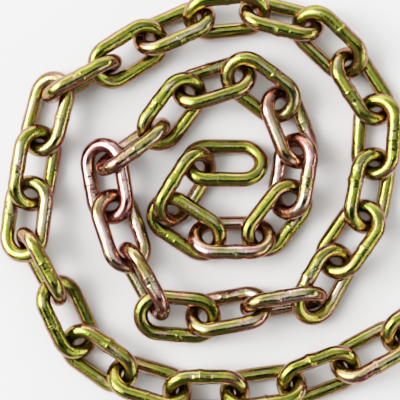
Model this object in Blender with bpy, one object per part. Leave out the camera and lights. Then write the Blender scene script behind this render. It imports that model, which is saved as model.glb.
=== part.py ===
"""A metre of welded steel chain laid flat as a loose spiral. Built in millimetres, made in metres."""

import math

import bpy
import numpy as np
from mathutils import Matrix

MILLIMETRE = 0.001

# One link, in millimetres. The middle line of its wire is two straight sides and two half circles.
WIRE = 6.0
INSIDE_LENGTH = 24.0
OUTSIDE_WIDTH = 21.6
BOW_RADIUS = (OUTSIDE_WIDTH - WIRE) / 2
SIDE_LENGTH = INSIDE_LENGTH + WIRE - 2 * BOW_RADIUS

# The link's mesh and its colour
SECTION_SIDES = 10
BOW_STEPS = 8
PLATING_COLOUR = (0.56, 0.52, 0.26)
PLATING_ROUGHNESS = 0.25

# The photograph looks straight down. These turn its pixels into millimetres on the floor.
PHOTO_MIDDLE = 200.0
PIXELS_PER_MILLIMETRE = 2.415
LENS_HEIGHT = 550.0

# Each link as read from the photograph, walking outwards from the loose end in the middle: its middle
# across and down in pixels, the way it points in degrees (0 right, 90 up the picture), and its lean
# in degrees (0 lies flat, more than 0 has the side on the walker's left raised).
LINKS = [
    (225, 164, 180, 34),
    (184, 187, 237, -42),
    (188, 226, -34, 12),
    (232, 237, 0, -44),
    (277, 218, 52, 20),
    (291, 176, 82, -42),
    (291, 128, 111, 34),
    (258, 88, 143, -14),
    (214, 84, 195, 44),
    (173, 112, 230, -32),
    (133, 147, 214, 75),
    (108, 180, 280, 22),
    (121, 232, 290, -30),
    (144, 280, 300, 72),
    (175, 317, 355, 2),
    (228, 311, 10, -41),
    (284, 303, 8, 66),
    (322, 286, 60, 27),
    (352, 237, 55, -14),
    (369, 190, 83, 26),
    (377, 137, 90, -30),
    (363, 87, 125, 38),
    (330, 42, 136, -33),
    (281, 20, 164, 54),
    (226, 14, 184, -38),
    (173, 29, 200, 50),
    (130, 56, 210, -30),
    (82, 79, 207, -86),
    (49, 114, 257, 30),
    (34, 164, 263, -30),
    (27, 219, 262, 14),
    (42, 266, 303, 67),
    (65, 317, 294, -28),
    (98, 358, 326, 6),
    (147, 385, 343, -43),
    (206, 392, 2, 25),
    (263, 391, 8, -48),
    (321, 375, 20, 18),
    (373, 352, 27, -44),
    (420, 320, 33, 25),
    (463, 284, 47, -30),
    (495, 238, 62, 30),
]

# How the links settle against one another and on the floor
TOUCH = WIRE + 0.5
SAMPLES = 64
REACH = 40.0
SETTLING_STEPS = 700
FREE_STEPS = 200
TURNING_RADIUS = 12.0
PLACE_PULL = 0.05
ANGLE_PULL = 0.05
FALL = 0.05
EASE = 0.5
NEARLY_NOTHING = 1e-12


def stadium(count):
    """Points spaced evenly along the middle line of a link that lies along X, as an array."""
    bow_length = math.pi * BOW_RADIUS
    total = 2 * (SIDE_LENGTH + bow_length)
    points = []
    for index in range(count):
        distance = total * index / count
        points.append(stadium_point(distance, bow_length))
    return np.array(points)


def stadium_point(distance, bow_length):
    """The point that lies a distance along the middle line, from the start of its near side."""
    half = SIDE_LENGTH + bow_length
    sign = 1.0
    if distance >= half:
        distance -= half
        sign = -1.0
    if distance < SIDE_LENGTH:
        return (sign * (distance - SIDE_LENGTH / 2), -sign * BOW_RADIUS, 0.0)
    angle = (distance - SIDE_LENGTH) / BOW_RADIUS
    along = SIDE_LENGTH / 2 + BOW_RADIUS * math.sin(angle)
    return (sign * along, -sign * BOW_RADIUS * math.cos(angle), 0.0)


def link_mesh():
    """The closed mesh of one link, its middle at zero, its length along X and its width along Y."""
    rings = []
    for end in (1, -1):
        for step in range(BOW_STEPS + 1):
            angle = math.pi * (step / BOW_STEPS - 0.5)
            outward = (end * math.cos(angle), end * math.sin(angle))
            middle = (end * SIDE_LENGTH / 2 + BOW_RADIUS * outward[0], BOW_RADIUS * outward[1])
            rings.append((middle, outward))
    # A faceted wire is drawn a little fuller, so that its section has the round wire's area
    slice_angle = 2 * math.pi / SECTION_SIDES
    radius = WIRE / 2 * math.sqrt(slice_angle / math.sin(slice_angle))
    vertices = []
    for middle, outward in rings:
        for side in range(SECTION_SIDES):
            around = slice_angle * side
            out = radius * math.cos(around)
            up = radius * math.sin(around)
            place = (middle[0] + out * outward[0], middle[1] + out * outward[1], up)
            vertices.append([value * MILLIMETRE for value in place])
    faces = []
    for ring in range(len(rings)):
        following = (ring + 1) % len(rings)
        for side in range(SECTION_SIDES):
            beside = (side + 1) % SECTION_SIDES
            faces.append((
                ring * SECTION_SIDES + side,
                following * SECTION_SIDES + side,
                following * SECTION_SIDES + beside,
                ring * SECTION_SIDES + beside,
            ))
    mesh = bpy.data.meshes.new("link")
    mesh.from_pydata(vertices, [], faces)
    mesh.polygons.foreach_set("use_smooth", [True] * len(faces))
    mesh.update()
    return mesh


def axes_from_angles(heading, lean):
    """The length, width and upright axes of a level link, as the columns of a matrix."""
    turn = math.radians(heading)
    tilt = math.radians(lean)
    length = np.array([math.cos(turn), math.sin(turn), 0.0])
    level = np.array([-math.sin(turn), math.cos(turn), 0.0])
    upward = np.array([0.0, 0.0, 1.0])
    width = level * math.cos(tilt) + upward * math.sin(tilt)
    upright = upward * math.cos(tilt) - level * math.sin(tilt)
    return np.stack([length, width, upright], axis=1)


def read_places():
    """Each link's middle in millimetres and its axes, straight from the readings."""
    places = []
    axes = []
    for across, down, heading, lean in LINKS:
        height = WIRE / 2 + BOW_RADIUS * abs(math.sin(math.radians(lean)))
        scale = (LENS_HEIGHT - height) / LENS_HEIGHT / PIXELS_PER_MILLIMETRE
        places.append(((across - PHOTO_MIDDLE) * scale, (PHOTO_MIDDLE - down) * scale, height))
        axes.append(axes_from_angles(heading, lean))
    return np.array(places), np.array(axes)


def crossed(first, second):
    """The cross products of two lists of vectors."""
    x = first[:, 1] * second[:, 2] - first[:, 2] * second[:, 1]
    y = first[:, 2] * second[:, 0] - first[:, 0] * second[:, 2]
    z = first[:, 0] * second[:, 1] - first[:, 1] * second[:, 0]
    return np.stack([x, y, z], axis=1)


def lengths(vectors):
    """The length of each vector of a list, as a column."""
    return np.sqrt(np.sum(vectors * vectors, axis=-1, keepdims=True))


def turned(axes, turns):
    """The links' axes after each one's small turn, which is given as an axis times an angle."""
    angles = lengths(turns)
    directions = turns / np.maximum(angles, NEARLY_NOTHING)
    result = np.empty_like(axes)
    for column in range(3):
        vectors = axes[:, :, column]
        along = np.sum(directions * vectors, axis=1, keepdims=True)
        spun = vectors * np.cos(angles) + crossed(directions, vectors) * np.sin(angles)
        result[:, :, column] = spun + directions * along * (1 - np.cos(angles))
    return result


def headings_of(axes):
    """The way each link points, in radians."""
    return np.arctan2(axes[:, 1, 0], axes[:, 0, 0])


def leans_of(axes):
    """The lean of each link in radians, about its own length."""
    long_way = axes[:, :, 0]
    upward = np.zeros_like(long_way)
    upward[:, 2] = 1.0
    level = crossed(upward, long_way)
    level = level / lengths(level)
    raised = crossed(long_way, level)
    width = axes[:, :, 1]
    return np.arctan2(np.sum(width * raised, axis=1), np.sum(width * level, axis=1))


def wrapped(angles):
    """Angles brought between minus and plus half a turn."""
    return (angles + math.pi) % (2 * math.pi) - math.pi


def wire_points(places, axes, line):
    """The middle lines of all the placed links, as links by points by three."""
    result = places[:, None, :] + np.zeros((len(places), len(line), 3))
    for column in range(3):
        result = result + line[None, :, column:column + 1] * axes[:, None, :, column]
    return result


def nudged(places, axes, links, points, pushes):
    """The places and axes once each named link's point has been pushed by about the given amount."""
    arms = points - places[links]
    sizes = lengths(pushes)
    directions = pushes / np.maximum(sizes, NEARLY_NOTHING)
    twists = crossed(arms, directions)
    gives = 1 + np.sum(twists * twists, axis=1, keepdims=True) / TURNING_RADIUS ** 2
    shifts = np.zeros_like(places)
    turns = np.zeros_like(places)
    np.add.at(shifts, links, pushes / gives)
    np.add.at(turns, links, twists * sizes / gives / TURNING_RADIUS ** 2)
    return places + shifts, turned(axes, turns)


def near_pairs(places):
    """The pairs of links near enough to meet, and whether each pair is linked together."""
    pairs = []
    linked = []
    for first in range(len(places)):
        for second in range(first + 1, len(places)):
            between = places[first] - places[second]
            if float(np.sum(between * between)) < REACH ** 2:
                pairs.append((first, second))
                linked.append(second == first + 1)
    return np.array(pairs), np.array(linked)


def met(places, axes, line, pairs, linked):
    """The links after the linked ones are brought into touch and any that overlap pushed apart."""
    lines = wire_points(places, axes, line)
    ones = []
    others = []
    for first, second in pairs:
        apart = lines[first][:, None, :] - lines[second][None, :, :]
        squares = apart[:, :, 0] ** 2 + apart[:, :, 1] ** 2 + apart[:, :, 2] ** 2
        one, other = np.unravel_index(int(np.argmin(squares)), squares.shape)
        ones.append(lines[first][one])
        others.append(lines[second][other])
    ones = np.array(ones)
    others = np.array(others)
    distances = lengths(ones - others)
    missing = TOUCH - distances
    missing = np.where((missing > 0) | linked[:, None], missing, 0.0)
    pushes = (ones - others) / distances * missing * EASE / 2
    links = np.concatenate([pairs[:, 0], pairs[:, 1]])
    return nudged(places, axes, links, np.concatenate([ones, others]), np.concatenate([pushes, -pushes]))


def lifted(places, axes, line):
    """The links once each of a link's two ends that is under the floor is lifted onto it."""
    every = np.arange(len(places))
    for end in (1, -1):
        points = wire_points(places, axes, line)[:, line[:, 0] * end >= 0]
        lowest = points[every, np.argmin(points[:, :, 2], axis=1)]
        pushes = np.zeros_like(places)
        pushes[:, 2] = np.maximum(WIRE / 2 - lowest[:, 2], 0.0)
        places, axes = nudged(places, axes, every, lowest, pushes)
    return places, axes


def pulled(places, axes, read, read_axes):
    """The links drawn down and a little way back to the place, heading and lean that were read."""
    shifts = (read - places) * PLACE_PULL
    shifts[:, 2] = -FALL
    swings = wrapped(headings_of(read_axes) - headings_of(axes)) * ANGLE_PULL
    rolls = wrapped(leans_of(read_axes) - leans_of(axes)) * ANGLE_PULL
    turns = axes[:, :, 0] * rolls[:, None]
    turns[:, 2] = turns[:, 2] + swings
    return places + shifts, turned(axes, turns)


def settle():
    """The links' places and axes once they touch, hold one another and rest on the floor."""
    line = stadium(SAMPLES)
    read, read_axes = read_places()
    pairs, linked = near_pairs(read)
    places = read
    axes = read_axes
    for step in range(SETTLING_STEPS + FREE_STEPS):
        if step < SETTLING_STEPS:
            places, axes = pulled(places, axes, read, read_axes)
        places, axes = met(places, axes, line, pairs, linked)
        places, axes = lifted(places, axes, line)
    return places, axes


def clear_scene():
    """Empties the file the script starts in."""
    for thing in list(bpy.data.objects):
        bpy.data.objects.remove(thing, do_unlink=True)


def plated_steel():
    """Steel wire with a yellow zinc plating."""
    material = bpy.data.materials.new("yellow_zinc_plated_steel")
    material.use_nodes = True
    shader = material.node_tree.nodes["Principled BSDF"]
    shader.inputs["Base Color"].default_value = (*PLATING_COLOUR, 1.0)
    shader.inputs["Metallic"].default_value = 1.0
    shader.inputs["Roughness"].default_value = PLATING_ROUGHNESS
    return material


def corners_of(mesh, places, axes):
    """The lowest and highest corners of the box around all the placed links, in millimetres."""
    flat = np.empty(len(mesh.vertices) * 3)
    mesh.vertices.foreach_get("co", flat)
    points = wire_points(places, axes, flat.reshape(-1, 3) / MILLIMETRE)
    return points.min(axis=(0, 1)), points.max(axis=(0, 1))


def main():
    clear_scene()
    mesh = link_mesh()
    mesh.materials.append(plated_steel())
    places, axes = settle()
    low, high = corners_of(mesh, places, axes)
    middle = (low + high) / 2
    origin = np.array([middle[0], middle[1], low[2]])
    for number in range(len(LINKS)):
        link = bpy.data.objects.new(f"link_{number + 1:02d}", mesh)
        pose = Matrix.Identity(4)
        for row in range(3):
            for column in range(3):
                pose[row][column] = float(axes[number][row, column])
            pose[row][3] = float(places[number][row] - origin[row]) * MILLIMETRE
        link.matrix_world = pose
        bpy.context.scene.collection.objects.link(link)


main()
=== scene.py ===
"""The looks of a metre of yellow zinc plated chain, laid flat as a loose spiral on a white floor."""

import math
import random

import bpy
import numpy as np
from mathutils import Matrix, Vector


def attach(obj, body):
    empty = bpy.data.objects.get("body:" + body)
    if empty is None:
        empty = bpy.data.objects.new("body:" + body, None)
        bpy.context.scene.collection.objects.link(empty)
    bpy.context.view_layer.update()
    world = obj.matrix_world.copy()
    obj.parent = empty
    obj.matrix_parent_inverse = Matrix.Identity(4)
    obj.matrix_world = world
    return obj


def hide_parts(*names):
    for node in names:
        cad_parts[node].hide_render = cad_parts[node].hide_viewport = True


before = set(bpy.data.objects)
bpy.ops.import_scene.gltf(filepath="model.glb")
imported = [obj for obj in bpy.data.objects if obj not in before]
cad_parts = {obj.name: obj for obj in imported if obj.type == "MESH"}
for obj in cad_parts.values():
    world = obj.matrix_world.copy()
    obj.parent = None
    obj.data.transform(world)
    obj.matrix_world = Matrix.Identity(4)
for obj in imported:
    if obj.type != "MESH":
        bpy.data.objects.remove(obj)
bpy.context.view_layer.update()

MILLIMETRE = 0.001
SLOT = "yellow_zinc_plated_steel"

# One link, in millimetres, as in the CAD part
WIRE_RADIUS = 3.0
BOW_RADIUS = 7.8
SIDE_LENGTH = 14.4
WIRE_LENGTH = 2 * (SIDE_LENGTH + math.pi * BOW_RADIUS)

# The mesh of one link: rings along the wire, closer together near the weld, and points round each ring
PLAIN_RINGS = 132
WELD_RINGS = 56
WELD_REACH = 5.5
RING_POINTS = 46

# The butt weld on one straight side of each link. The side is the walker's left or right on the way
# out from the loose end in the middle of the spiral, and the place is in millimetres from the side's
# middle towards the next link. The other welds lie at random, up to WELD_STRAY from the middle.
WELDS_ON_LEFT = (1, 11, 13, 14, 16, 17, 18, 20, 22, 24, 26, 29, 32, 34, 36, 38)
WELD_PLACES = {1: 2.5, 4: 0.9, 16: -2.8, 17: -1.3, 20: 3.0, 36: -2.2, 38: -1.7}
WELD_STRAY = 1.0

# Relief on the wire. Heights, depths, reaches and places along the wire are in millimetres, and
# spreads and directions round it in radians. A pair is the range that a random value comes from.
MARK_DIRECTIONS = (0.0, 6.28)
MARK_REACHES = (0.3, 0.9)

# The weld swells the wire, and a ridge of flash runs round it. Its height varies by these shares, and
# its line wanders this far, in so many waves round the wire.
SWELL = 0.12
SWELL_REACH = 2.4
FLASH_HEIGHT = 0.09
FLASH_REACH = 0.30
FLASH_SHARES = {1: 0.3, 3: 0.2}
FLASH_WANDER = {2: 0.12, 5: 0.06}
RIPPLE_PHASES = (0.0, 6.0)

# Lumps of upset metal on the weld
LUMPS = 3
LUMP_PLACES = (-1.2, 1.2)
LUMP_HEIGHTS = (0.10, 0.30)
LUMP_REACH = 0.5
LUMP_SPREAD = 0.25

# Marks on both sides of the weld, where the machine's clamps gripped
CLAMP_MARKS = 4
CLAMP_PLACES = (2.4, 4.8)
CLAMP_DEPTHS = (0.08, 0.22)
CLAMP_SPREAD = 0.3

# Welds whose upset metal stands proud on the link's outer side, as a hump
PROUD_WELDS = (18, 20, 24, 34, 36, 38)
HUMP_HEIGHT = 0.42
HUMP_REACH = 1.5
HUMP_SPREAD = 0.9

# Small dents that the links knock into one another
DENTS = 14
DENT_DEPTHS = (0.02, 0.08)
DENT_SPREAD = 0.22

# The wire's slight unevenness: waves along it that also turn up to so many times round it. The
# longest has this share of the shortest one's cycles.
UNEVEN_WAVES = 6
UNEVEN_HEIGHT = 0.05
UNEVEN_TURNS = 3
SHORTEST_WAVE = 12.0
LONGEST_WAVE_SHARE = 0.3

# How far each link's plating has turned from green and gold, 0, to pink, 1. The rest are at USUAL_PINK.
# Bands along the wire swing it up and down, and it goes over from green to pink between the edges.
USUAL_PINK = 0.15
PINK_LINKS = {
    2: 0.35, 4: 0.6, 6: 0.55, 7: 0.55, 8: 0.3, 9: 0.35, 11: 0.45, 12: 0.8, 13: 0.6, 14: 0.5, 16: 0.4,
    17: 0.5, 18: 0.3, 22: 0.25, 28: 0.3, 29: 0.3, 30: 0.3, 31: 0.25, 39: 0.3,
}
BAND_SWING = 1.6
GREEN_EDGE = 0.2
PINK_EDGE = 0.8

# The chromate film. Light that comes in at a slant has a shorter path difference in it. The path is 1
# where a film of the usual thickness is seen straight on, and the colours are the metal's reflection
# at each length of path, shortest first: in the green film, and in the pink one.
FILM_INDEX = 1.35
CLOUD_SWING = 0.55
STREAK_SWING = 0.28
SHORTEST_PATH = 0.6
LONGEST_PATH = 1.2
GREEN_FILM = (
    (0.66, (0.50, 0.40, 0.350)),
    (0.70, (0.46, 0.33, 0.270)),
    (0.74, (0.36, 0.17, 0.135)),
    (0.78, (0.38, 0.19, 0.135)),
    (0.82, (0.40, 0.28, 0.130)),
    (0.87, (0.34, 0.28, 0.070)),
    (0.92, (0.27, 0.26, 0.045)),
    (0.98, (0.19, 0.22, 0.028)),
    (1.03, (0.19, 0.20, 0.040)),
    (1.07, (0.27, 0.22, 0.090)),
    (1.13, (0.42, 0.30, 0.230)),
)
PINK_FILM = (
    (0.66, (0.48, 0.38, 0.340)),
    (0.70, (0.43, 0.29, 0.260)),
    (0.74, (0.31, 0.14, 0.120)),
    (0.79, (0.28, 0.09, 0.080)),
    (0.84, (0.36, 0.16, 0.130)),
    (0.89, (0.41, 0.20, 0.190)),
    (0.94, (0.49, 0.29, 0.275)),
    (0.98, (0.54, 0.36, 0.350)),
    (1.03, (0.56, 0.45, 0.400)),
    (1.08, (0.40, 0.39, 0.220)),
    (1.14, (0.26, 0.30, 0.080)),
)

# Noise over the wire: how many times it is drawn out along the wire, its scale, detail and roughness
CLOUDS = (1, 0.12, 2.0, 0.45)
STREAKS = (5, 0.8, 3.0, 0.6)
BANDS = (3, 0.2, 2.0, 0.5)
DRAWING_LINES = (16, 1.6, 2.0, 0.5)
PITS = (1, 1.1, 2.0, 0.5)
GRAIN = (1, 2.4, 1.0, 0.5)

# Random shifts of the noise from link to link, in millimetres
NOISE_SHIFTS = (0, 500)

# The bare metal: its bumps, in metres, its roughness, which follows the pits and is more at the weld,
# the reach of the weld's dullness in millimetres, the tint at its rims and the clear coat on it
BUMP_STRENGTH = 0.8
DRAWING_DEPTH = 0.00016
PIT_DEPTH = 0.00011
GRAIN_DEPTH = 0.00008
PIT_NOISE = (0.3, 0.7)
ROUGHNESS = (0.03, 0.11)
WELD_ROUGHNESS = 0.08
WELD_DULLNESS_REACH = 2.2
RIM_TINT = (0.65, 0.45, 0.40, 1)
COAT_WEIGHT = 0.5
COAT_ROUGHNESS = 0.10
COAT_INDEX = 1.5

# The camera looks straight down from above the middle of the photograph, in metres
LENS_HEIGHT = 0.550
PHOTO_WIDTH = 0.16563
SENSOR = 36.0
MIDDLE_FROM_FIRST_LINK = (-0.01002, -0.01517)
NEAREST_SEEN = 0.01
FARTHEST_SEEN = 10.0

# The sheet of paper under the chain, in metres
PAPER_HALF = 2.4
PAPER_GAP = 0.00005
PAPER_COLOUR = (0.78, 0.78, 0.785, 1)
PAPER_ROUGHNESS = 0.7

# All the light together. The brightness of each light and of the room is multiplied by it.
LIGHT_LEVEL = 1.65

# The soft lights: azimuth and elevation, distance in metres, half of the angle that the width and the
# height fill, brightness of the core and of the rim, and the share of the half width that is core
SOFTBOXES = {
    "key": ((172, 41), 2.40, (24, 27), 8.5, 1.4, 0.4),
    "upper_left": ((128, 27), 1.90, (20, 15), 2.2, 0.6, 0.2),
    "lower_left": ((214, 42), 1.90, (14, 20), 1.2, 0.2, 0.1),
    "ceiling_back": ((76, 58), 1.80, (42, 34), 0.34, 0.15, 0.3),
    "top_wall": ((92, 15), 1.80, (45, 10), 0.9, 0.45, 0.5),
    "card_right": ((-4, 21), 1.80, (28, 5), 4.4, 1.6, 0.4),
    "card_lower_right": ((-38, 33), 1.90, (20, 20), 1.5, 0.3, 0.2),
}

# The level ceiling over the picture: its left, right, bottom and top edges from the picture's middle
# and its height, in metres, and how bright it is at its left and right edges
CEILING_EDGES = (-0.70, 1.30, -0.22, 0.75)
CEILING_HEIGHT = 1.80
CEILING_LEFT_GLOW = 0.95
CEILING_RIGHT_GLOW = 0.12

# The room that the metal mirrors, from the side below the picture to the side above it. Each stop has
# the direction's share towards the top of the picture, from -1 to 1, and how bright the room is there.
ROOM = (
    (-1.00, 0.10),
    (-0.90, 0.12),
    (-0.80, 0.24),
    (-0.62, 0.20),
    (-0.52, 0.04),
    (-0.15, 0.03),
    (0.00, 0.08),
    (0.50, 0.12),
    (0.80, 0.35),
    (0.92, 1.00),
    (1.00, 1.30),
)

# The camera's response: brightness in the scene, and in the picture
BRIGHTEST = 4.0
RESPONSE = (
    (0.0, 0.0),
    (0.02, 0.010),
    (0.05, 0.032),
    (0.10, 0.078),
    (0.20, 0.190),
    (0.35, 0.345),
    (0.50, 0.475),
    (0.75, 0.635),
    (1.00, 0.755),
    (1.50, 0.885),
    (2.00, 0.945),
    (3.00, 0.985),
    (4.00, 1.0),
)

# Blender's numbers for the Mix node's colour sockets and for the curve of all three colours together
MIX_FIRST = 6
MIX_SECOND = 7
MIX_RESULT = 2
COMBINED_CURVE = 3


def link_names():
    """The chain's nodes in the order that they hang together, from the middle of the spiral outwards."""
    return sorted(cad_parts)


def corners(name):
    """The places of a CAD node's vertices, one in each row."""
    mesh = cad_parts[name].data
    flat = np.empty(len(mesh.vertices) * 3)
    mesh.vertices.foreach_get("co", flat)
    return flat.reshape(-1, 3)


def link_frames():
    """Each link's place and axes: its length points to the next link, and its upright axis points up."""
    names = link_names()
    middles = [corners(name).mean(axis=0) for name in names]
    frames = {}
    for index, name in enumerate(names):
        points = corners(name) - middles[index]
        # The directions come with the one of least spread first: a link is thin, then wide, then long
        spread, directions = np.linalg.eigh(points.T @ points)
        upright = directions[:, 0]
        length = directions[:, 2]
        before = max(index - 1, 0)
        after = min(index + 1, len(names) - 1)
        if np.dot(length, middles[after] - middles[before]) < 0:
            length = -length
        if upright[2] < 0:
            upright = -upright
        width = np.cross(upright, length)
        pose = Matrix.Identity(4)
        for row in range(3):
            pose[row][0] = length[row]
            pose[row][1] = width[row]
            pose[row][2] = upright[row]
            pose[row][3] = middles[index][row]
        frames[name] = pose
    return frames


def wire_line(distances):
    """Points on the wire's middle line and the directions away from the link's middle there.

    The distance starts in the middle of the side at plus Y and goes once round."""
    points = np.zeros((len(distances), 3))
    outward = np.zeros((len(distances), 3))
    half_side = SIDE_LENGTH / 2
    bow = math.pi * BOW_RADIUS
    for index, distance in enumerate(distances):
        if distance < half_side:
            points[index, :2] = (-distance, BOW_RADIUS)
            outward[index, :2] = (0, 1)
        elif distance < half_side + bow:
            angle = math.pi / 2 + (distance - half_side) / BOW_RADIUS
            outward[index, :2] = (math.cos(angle), math.sin(angle))
            points[index, :2] = (-half_side, 0)
            points[index] += outward[index] * BOW_RADIUS
        elif distance < half_side + bow + SIDE_LENGTH:
            along = distance - half_side - bow
            points[index, :2] = (-half_side + along, -BOW_RADIUS)
            outward[index, :2] = (0, -1)
        elif distance < WIRE_LENGTH - half_side:
            angle = -math.pi / 2 + (distance - half_side - bow - SIDE_LENGTH) / BOW_RADIUS
            outward[index, :2] = (math.cos(angle), math.sin(angle))
            points[index, :2] = (half_side, 0)
            points[index] += outward[index] * BOW_RADIUS
        else:
            points[index, :2] = (WIRE_LENGTH - distance, BOW_RADIUS)
            outward[index, :2] = (0, 1)
    return points, outward


def ring_distances():
    """How far along the wire each ring lies, from the weld round to the weld again."""
    near = WELD_REACH * (np.arange(WELD_RINGS // 2) + 0.5) / (WELD_RINGS // 2)
    far = np.linspace(WELD_REACH, WIRE_LENGTH - WELD_REACH, PLAIN_RINGS + 1)[1:]
    return np.concatenate([near, far, (WIRE_LENGTH - near[::-1])[1:]])


def nearest_way(distance):
    """Distances along the closed wire, brought between minus and plus half its length."""
    return (distance + WIRE_LENGTH / 2) % WIRE_LENGTH - WIRE_LENGTH / 2


def bump_at(along, around, place, direction, reach, spread):
    """A round hump, one high at its middle, at a distance along the wire and a direction round it."""
    off = nearest_way(along - place)
    turn = (around - direction + math.pi) % (2 * math.pi) - math.pi
    return np.exp(-(off / reach) ** 2 - (turn / spread) ** 2)


def ripple(rng, around, sizes):
    """Waves round the wire at random phases. The sizes are keyed by how many waves go round."""
    return sum(size * np.sin(count * around + rng.uniform(*RIPPLE_PHASES)) for count, size in sizes.items())


def weld_relief(rng, along, around, proud):
    """The swelling, flash, lumps and clamp marks at the weld, out from the round wire."""
    relief = SWELL * np.exp(-(nearest_way(along) / SWELL_REACH) ** 2)
    if proud:
        relief += HUMP_HEIGHT * bump_at(along, around, 0.0, 0.0, HUMP_REACH, HUMP_SPREAD)
    ragged = 1 + ripple(rng, around, FLASH_SHARES)
    ridge_place = nearest_way(along + ripple(rng, around, FLASH_WANDER))
    relief += FLASH_HEIGHT * ragged * np.exp(-(ridge_place / FLASH_REACH) ** 2)
    for lump in range(LUMPS):
        place = rng.uniform(*LUMP_PLACES)
        height = rng.uniform(*LUMP_HEIGHTS)
        direction = rng.uniform(*MARK_DIRECTIONS)
        relief += height * bump_at(along, around, place, direction, LUMP_REACH, LUMP_SPREAD)
    for side in (-1, 1):
        for mark in range(CLAMP_MARKS):
            place = side * rng.uniform(*CLAMP_PLACES)
            depth = rng.uniform(*CLAMP_DEPTHS)
            direction = rng.uniform(*MARK_DIRECTIONS)
            reach = rng.uniform(*MARK_REACHES)
            relief -= depth * bump_at(along, around, place, direction, reach, CLAMP_SPREAD)
    return relief


def dent_relief(rng, along, around):
    """The dents, as heights below the wire's surface."""
    relief = np.zeros_like(along)
    for dent in range(DENTS):
        place = rng.uniform(0, WIRE_LENGTH)
        depth = rng.uniform(*DENT_DEPTHS)
        direction = rng.uniform(*MARK_DIRECTIONS)
        reach = rng.uniform(*MARK_REACHES)
        relief -= depth * bump_at(along, around, place, direction, reach, DENT_SPREAD)
    return relief


def uneven_relief(rng, along, around):
    """A few smooth waves, which close up round the wire and round the link."""
    relief = np.zeros_like(along)
    for wave in range(UNEVEN_WAVES):
        turns = rng.randint(0, UNEVEN_TURNS)
        cycles = rng.uniform(LONGEST_WAVE_SHARE, 1.0) * WIRE_LENGTH / SHORTEST_WAVE
        phase = rng.uniform(0, 2 * math.pi)
        swing = 2 * math.pi * round(cycles) * along / WIRE_LENGTH
        relief += UNEVEN_HEIGHT / UNEVEN_WAVES * np.sin(swing + turns * around + phase)
    return relief


def ring_faces(rings):
    """The four-cornered faces between each ring of points and the next, closed round the link."""
    faces = []
    for ring in range(rings):
        following = (ring + 1) % rings
        for side in range(RING_POINTS):
            beside = (side + 1) % RING_POINTS
            faces.append((
                ring * RING_POINTS + side,
                ring * RING_POINTS + beside,
                following * RING_POINTS + beside,
                following * RING_POINTS + side,
            ))
    return faces


def add_attributes(mesh, rng, along, around, pinkness):
    """What the material reads at each point.

    The place on the wire has four axes, in millimetres, so that noise runs round the link and round
    the wire without a seam. Three of them are in wire_place and the fourth is wire_height."""
    loop_radius = WIRE_LENGTH / (2 * math.pi)
    loop_x = loop_radius * np.cos(along / loop_radius)
    loop_y = loop_radius * np.sin(along / loop_radius)
    place = np.stack([loop_x, loop_y, WIRE_RADIUS * np.cos(around)], axis=-1)
    place += np.array([rng.uniform(*NOISE_SHIFTS) for axis in range(3)])
    wire_place = mesh.attributes.new("wire_place", "FLOAT_VECTOR", "POINT")
    wire_place.data.foreach_set("vector", place.reshape(-1))
    values = {
        "wire_height": WIRE_RADIUS * np.sin(around),
        "weld": np.exp(-(nearest_way(along) / WELD_DULLNESS_REACH) ** 2),
        "pinkness": np.full_like(along, pinkness),
    }
    for name, value in values.items():
        attribute = mesh.attributes.new(name, "FLOAT", "POINT")
        attribute.data.foreach_set("value", value.reshape(-1))


def link_mesh(name, rng, pinkness, weld_place, proud):
    """The mesh of one link, its middle at zero and its weld on the side at plus Y."""
    distances = ring_distances()
    points, outward = wire_line((distances + weld_place) % WIRE_LENGTH)
    angles = 2 * math.pi * np.arange(RING_POINTS) / RING_POINTS
    along = np.repeat(distances[:, None], RING_POINTS, axis=1)
    around = np.repeat(angles[None, :], len(distances), axis=0)
    radius = WIRE_RADIUS + weld_relief(rng, along, around, proud)
    radius += dent_relief(rng, along, around)
    radius += uneven_relief(rng, along, around)
    out = (radius * np.cos(around))[:, :, None] * outward[:, None, :]
    up = (radius * np.sin(around))[:, :, None] * np.array([0.0, 0.0, 1.0])
    vertices = (points[:, None, :] + out + up).reshape(-1, 3) * MILLIMETRE
    faces = ring_faces(len(distances))
    mesh = bpy.data.meshes.new(name)
    mesh.from_pydata(vertices.tolist(), [], faces)
    mesh.polygons.foreach_set("use_smooth", [True] * len(faces))
    add_attributes(mesh, rng, along, around, pinkness)
    mesh.update()
    return mesh


def node(tree, kind, **settings):
    """Adds a node and sets its inputs and its own settings by name."""
    made = tree.nodes.new(kind)
    for name, value in settings.items():
        if name in made.inputs:
            made.inputs[name].default_value = value
        else:
            setattr(made, name, value)
    return made


def filled_ramp(tree, stops):
    """A colour ramp with the given stops, each a place from 0 to 1 and a colour."""
    ramp = node(tree, "ShaderNodeValToRGB")
    elements = ramp.color_ramp.elements
    while len(elements) < len(stops):
        elements.new(1.0)
    for element, (place, colour) in zip(elements, stops):
        element.position = place
        element.color = (*colour, 1)
    return ramp


def wire_noise(tree, kind):
    """One of the kinds of noise over the wire."""
    stretch, scale, detail, roughness = kind
    link = tree.links.new
    place = node(tree, "ShaderNodeAttribute", attribute_name="wire_place")
    height = node(tree, "ShaderNodeAttribute", attribute_name="wire_height")
    drawn_out = node(tree, "ShaderNodeVectorMath", operation="DIVIDE")
    drawn_out.inputs[1].default_value = (stretch, stretch, 1.0)
    link(place.outputs["Vector"], drawn_out.inputs[0])
    noise = node(tree, "ShaderNodeTexNoise", Scale=scale, Detail=detail, Roughness=roughness)
    noise.noise_dimensions = "4D"
    link(drawn_out.outputs["Vector"], noise.inputs["Vector"])
    link(height.outputs["Fac"], noise.inputs["W"])
    return noise.outputs["Fac"]


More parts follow.
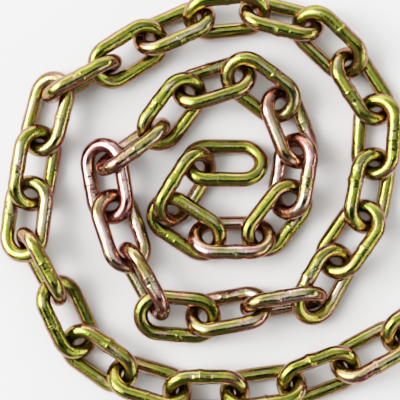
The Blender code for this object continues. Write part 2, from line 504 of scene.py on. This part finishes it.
def film_thickness(tree):
    """How thick the chromate film is, where 1 is usual: broad clouds, with streaks along the wire."""
    link = tree.links.new
    clouded = node(tree, "ShaderNodeMath", operation="MULTIPLY_ADD")
    clouded.inputs[1].default_value = CLOUD_SWING
    clouded.inputs[2].default_value = 1 - CLOUD_SWING / 2 - STREAK_SWING / 2
    link(wire_noise(tree, CLOUDS), clouded.inputs[0])
    streaked = node(tree, "ShaderNodeMath", operation="MULTIPLY_ADD")
    streaked.inputs[1].default_value = STREAK_SWING
    link(wire_noise(tree, STREAKS), streaked.inputs[0])
    link(clouded.outputs[0], streaked.inputs[2])
    return streaked.outputs[0]


def film_path(tree, thickness):
    """How long the path in the film is, from 0 at the shortest to 1 at the longest.

    It is the film's thickness times the cosine of the light's slant inside the film. That cosine is
    the root of 1 minus the outer sine squared over the film's index squared."""
    link = tree.links.new
    facing = node(tree, "ShaderNodeLayerWeight", Blend=0.5)
    cosine = node(tree, "ShaderNodeMath", operation="SUBTRACT")
    cosine.inputs[0].default_value = 1.0
    link(facing.outputs["Facing"], cosine.inputs[1])
    square = node(tree, "ShaderNodeMath", operation="MULTIPLY")
    link(cosine.outputs[0], square.inputs[0])
    link(cosine.outputs[0], square.inputs[1])
    inside = node(tree, "ShaderNodeMath", operation="MULTIPLY_ADD")
    inside.inputs[1].default_value = 1 / FILM_INDEX ** 2
    inside.inputs[2].default_value = 1 - 1 / FILM_INDEX ** 2
    link(square.outputs[0], inside.inputs[0])
    root = node(tree, "ShaderNodeMath", operation="SQRT")
    link(inside.outputs[0], root.inputs[0])
    path = node(tree, "ShaderNodeMath", operation="MULTIPLY")
    link(root.outputs[0], path.inputs[0])
    link(thickness, path.inputs[1])
    share = node(tree, "ShaderNodeMapRange")
    share.inputs["From Min"].default_value = SHORTEST_PATH
    share.inputs["From Max"].default_value = LONGEST_PATH
    link(path.outputs[0], share.inputs["Value"])
    return share.outputs["Result"]


def film_colour(tree, path, colours):
    """The colour that one kind of film gives the metal."""
    longest = LONGEST_PATH - SHORTEST_PATH
    ramp = filled_ramp(tree, [((length - SHORTEST_PATH) / longest, colour) for length, colour in colours])
    tree.links.new(path, ramp.inputs["Fac"])
    return ramp.outputs["Color"]


def pink_bands(tree):
    """Where the film is of the pink kind, from 0 to 1."""
    link = tree.links.new
    pinkness = node(tree, "ShaderNodeAttribute", attribute_name="pinkness")
    swung = node(tree, "ShaderNodeMath", operation="MULTIPLY_ADD")
    swung.inputs[1].default_value = BAND_SWING
    link(wire_noise(tree, BANDS), swung.inputs[0])
    link(pinkness.outputs["Fac"], swung.inputs[2])
    mask = node(tree, "ShaderNodeMapRange", interpolation_type="SMOOTHSTEP")
    mask.inputs["From Min"].default_value = GREEN_EDGE + BAND_SWING / 2
    mask.inputs["From Max"].default_value = PINK_EDGE + BAND_SWING / 2
    link(swung.outputs[0], mask.inputs["Value"])
    return mask.outputs["Result"]


def film_sheen(tree):
    """The film's interference colour."""
    link = tree.links.new
    path = film_path(tree, film_thickness(tree))
    mix = node(tree, "ShaderNodeMix", data_type="RGBA")
    link(pink_bands(tree), mix.inputs["Factor"])
    link(film_colour(tree, path, GREEN_FILM), mix.inputs[MIX_FIRST])
    link(film_colour(tree, path, PINK_FILM), mix.inputs[MIX_SECOND])
    return mix.outputs[MIX_RESULT]


def metal_roughness(tree, pits):
    """The metal's roughness, which follows the pits and is more at the weld."""
    link = tree.links.new
    weld = node(tree, "ShaderNodeAttribute", attribute_name="weld")
    pitted = node(tree, "ShaderNodeMapRange")
    pitted.inputs["From Min"].default_value = PIT_NOISE[0]
    pitted.inputs["From Max"].default_value = PIT_NOISE[1]
    pitted.inputs["To Min"].default_value = ROUGHNESS[0]
    pitted.inputs["To Max"].default_value = ROUGHNESS[1]
    link(pits, pitted.inputs["Value"])
    dulled = node(tree, "ShaderNodeMath", operation="MULTIPLY_ADD")
    link(weld.outputs["Fac"], dulled.inputs[0])
    dulled.inputs[1].default_value = WELD_ROUGHNESS
    link(pitted.outputs["Result"], dulled.inputs[2])
    return dulled.outputs[0]


def plating():
    """Yellow chromate over zinc: green, gold and pink sheen on bright, slightly uneven metal."""
    material = bpy.data.materials.new(SLOT)
    material.use_nodes = True
    tree = material.node_tree
    shader = tree.nodes["Principled BSDF"]
    link = tree.links.new
    link(film_sheen(tree), shader.inputs["Base Color"])

    drawing_lines = wire_noise(tree, DRAWING_LINES)
    pits = wire_noise(tree, PITS)
    grain = wire_noise(tree, GRAIN)
    normal = shader.inputs["Normal"]
    for height, depth in ((grain, GRAIN_DEPTH), (pits, PIT_DEPTH), (drawing_lines, DRAWING_DEPTH)):
        bump = node(tree, "ShaderNodeBump", Strength=BUMP_STRENGTH, Distance=depth)
        link(height, bump.inputs["Height"])
        link(bump.outputs["Normal"], normal)
        normal = bump.inputs["Normal"]

    link(metal_roughness(tree, pits), shader.inputs["Roughness"])
    shader.inputs["Metallic"].default_value = 1.0
    shader.inputs["Specular Tint"].default_value = RIM_TINT
    shader.inputs["Coat Weight"].default_value = COAT_WEIGHT
    shader.inputs["Coat Roughness"].default_value = COAT_ROUGHNESS
    shader.inputs["Coat IOR"].default_value = COAT_INDEX
    return material


def chain(frames):
    """The links, each in the place of its CAD node."""
    material = plating()
    for number, name in enumerate(link_names(), start=1):
        rng = random.Random(number)
        weld_place = WELD_PLACES.get(number, rng.uniform(-WELD_STRAY, WELD_STRAY))
        weld_side = Matrix.Rotation(math.pi, 4, "Z")
        if number in WELDS_ON_LEFT:
            weld_side = Matrix.Identity(4)
            weld_place = -weld_place
        pinkness = PINK_LINKS.get(number, USUAL_PINK)
        mesh = link_mesh(name + "_plated", rng, pinkness, weld_place, number in PROUD_WELDS)
        mesh.materials.append(material)
        mesh.transform(frames[name] @ weld_side)
        piece = bpy.data.objects.new(name + "_plated", mesh)
        bpy.context.scene.collection.objects.link(piece)
        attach(piece, "root")
        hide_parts(name)


def photo_middle(frames):
    """The place on the floor under the middle of the photograph."""
    first = frames[link_names()[0]].translation
    return Vector((first.x + MIDDLE_FROM_FIRST_LINK[0], first.y + MIDDLE_FROM_FIRST_LINK[1], 0.0))


def camera(middle):
    """A long lens straight above the chain, with the top of the photograph at plus Y."""
    data = bpy.data.cameras.new("camera")
    data.sensor_width = SENSOR
    data.lens = SENSOR * LENS_HEIGHT / PHOTO_WIDTH
    data.clip_start = NEAREST_SEEN
    data.clip_end = FARTHEST_SEEN
    made = bpy.data.objects.new("camera", data)
    made.location = middle + Vector((0, 0, LENS_HEIGHT))
    bpy.context.scene.collection.objects.link(made)
    bpy.context.scene.camera = made


def floor(middle):
    """A plain white sheet of matt paper."""
    half = PAPER_HALF
    mesh = bpy.data.meshes.new("floor")
    sheet_corners = [(-half, -half, 0), (half, -half, 0), (half, half, 0), (-half, half, 0)]
    mesh.from_pydata(sheet_corners, [], [(0, 1, 2, 3)])
    material = bpy.data.materials.new("white_paper")
    material.use_nodes = True
    shader = material.node_tree.nodes["Principled BSDF"]
    shader.inputs["Base Color"].default_value = PAPER_COLOUR
    shader.inputs["Roughness"].default_value = PAPER_ROUGHNESS
    mesh.materials.append(material)
    sheet = bpy.data.objects.new("floor", mesh)
    sheet.location = middle - Vector((0, 0, PAPER_GAP))
    bpy.context.scene.collection.objects.link(sheet)


def area_light(name, width, height, place):
    """A rectangular light that faces down, with nodes for its brightness at each point of its face."""
    data = bpy.data.lights.new(name, "AREA")
    data.shape = "RECTANGLE"
    data.size = width
    data.size_y = height
    data.energy = math.pi * width * height * LIGHT_LEVEL
    data.use_nodes = True
    made = bpy.data.objects.new(name, data)
    made.location = place
    bpy.context.scene.collection.objects.link(made)
    return made


def softbox(name, middle, direction, distance, half_angles, core, rim, even):
    """A light that faces the middle of the picture, with an even core that fades to its rim."""
    azimuth = math.radians(direction[0])
    elevation = math.radians(direction[1])
    flat = math.cos(elevation)
    away = Vector((math.cos(azimuth) * flat, math.sin(azimuth) * flat, math.sin(elevation)))
    width = 2 * distance * math.tan(math.radians(half_angles[0]))
    height = 2 * distance * math.tan(math.radians(half_angles[1]))
    made = area_light(name, width, height, middle + away * distance)
    made.rotation_mode = "QUATERNION"
    made.rotation_quaternion = away.to_track_quat("Z", "Y")

    tree = made.data.node_tree
    face = node(tree, "ShaderNodeNewGeometry")
    centred = node(tree, "ShaderNodeVectorMath", operation="SUBTRACT")
    centred.inputs[1].default_value = (0.5, 0.5, 0)
    tree.links.new(face.outputs["Parametric"], centred.inputs[0])
    from_centre = node(tree, "ShaderNodeVectorMath", operation="LENGTH")
    tree.links.new(centred.outputs["Vector"], from_centre.inputs[0])
    fade = node(tree, "ShaderNodeMapRange", interpolation_type="SMOOTHSTEP")
    fade.inputs["From Min"].default_value = even / 2
    fade.inputs["From Max"].default_value = 0.5
    fade.inputs["To Min"].default_value = core
    fade.inputs["To Max"].default_value = rim
    tree.links.new(from_centre.outputs["Value"], fade.inputs["Value"])
    tree.links.new(fade.outputs["Result"], tree.nodes["Emission"].inputs["Strength"])


def ceiling(middle):
    """A level white ceiling whose brightness falls from its left edge to its right one."""
    left, right, bottom, top = CEILING_EDGES
    place = middle + Vector(((left + right) / 2, (bottom + top) / 2, CEILING_HEIGHT))
    made = area_light("ceiling", right - left, top - bottom, place)

    tree = made.data.node_tree
    face = node(tree, "ShaderNodeNewGeometry")
    apart = node(tree, "ShaderNodeSeparateXYZ")
    tree.links.new(face.outputs["Parametric"], apart.inputs[0])
    fall = node(tree, "ShaderNodeMapRange")
    fall.inputs["To Min"].default_value = CEILING_LEFT_GLOW
    fall.inputs["To Max"].default_value = CEILING_RIGHT_GLOW
    tree.links.new(apart.outputs["X"], fall.inputs["Value"])
    tree.links.new(fall.outputs["Result"], tree.nodes["Emission"].inputs["Strength"])


def lights(middle):
    """A large softbox on the left with a weaker one on either side of it, a pale ceiling in two parts,
    a pale wall beyond the top of the picture and two white cards on the right."""
    for name, settings in SOFTBOXES.items():
        softbox(name, middle, *settings)
    ceiling(middle)


def surroundings():
    """A dim room, darkest where the photographer stands over the chain, and pale beyond the top of the
    picture."""
    world = bpy.data.worlds.new("room")
    bpy.context.scene.world = world
    world.use_nodes = True
    tree = world.node_tree
    background = tree.nodes["Background"]
    direction = node(tree, "ShaderNodeTexCoord")
    apart = node(tree, "ShaderNodeSeparateXYZ")
    tree.links.new(direction.outputs["Generated"], apart.inputs[0])
    share = node(tree, "ShaderNodeMapRange")
    share.inputs["From Min"].default_value = -1.0
    tree.links.new(apart.outputs["Y"], share.inputs["Value"])
    ramp = filled_ramp(tree, [((towards_top + 1) / 2, (glow, glow, glow)) for towards_top, glow in ROOM])
    tree.links.new(share.outputs["Result"], ramp.inputs["Fac"])
    tree.links.new(ramp.outputs["Color"], background.inputs["Color"])
    background.inputs["Strength"].default_value = LIGHT_LEVEL


def camera_response():
    """Deep darks, and highlights that fade to white rather than stop at it."""
    view = bpy.context.scene.view_settings
    view.view_transform = "Standard"
    view.use_curve_mapping = True
    mapping = view.curve_mapping
    mapping.white_level = (BRIGHTEST, BRIGHTEST, BRIGHTEST)
    mapping.extend = "HORIZONTAL"
    curve = mapping.curves[COMBINED_CURVE]
    while len(curve.points) < len(RESPONSE):
        curve.points.new(1.0, 1.0)
    for point, (scene_level, picture_level) in zip(curve.points, RESPONSE):
        point.location = (scene_level / BRIGHTEST, picture_level)
    mapping.update()


def main():
    """The whole scene around the frame's solids."""
    frames = link_frames()
    chain(frames)
    middle = photo_middle(frames)
    floor(middle)
    lights(middle)
    surroundings()
    camera(middle)
    camera_response()


main()
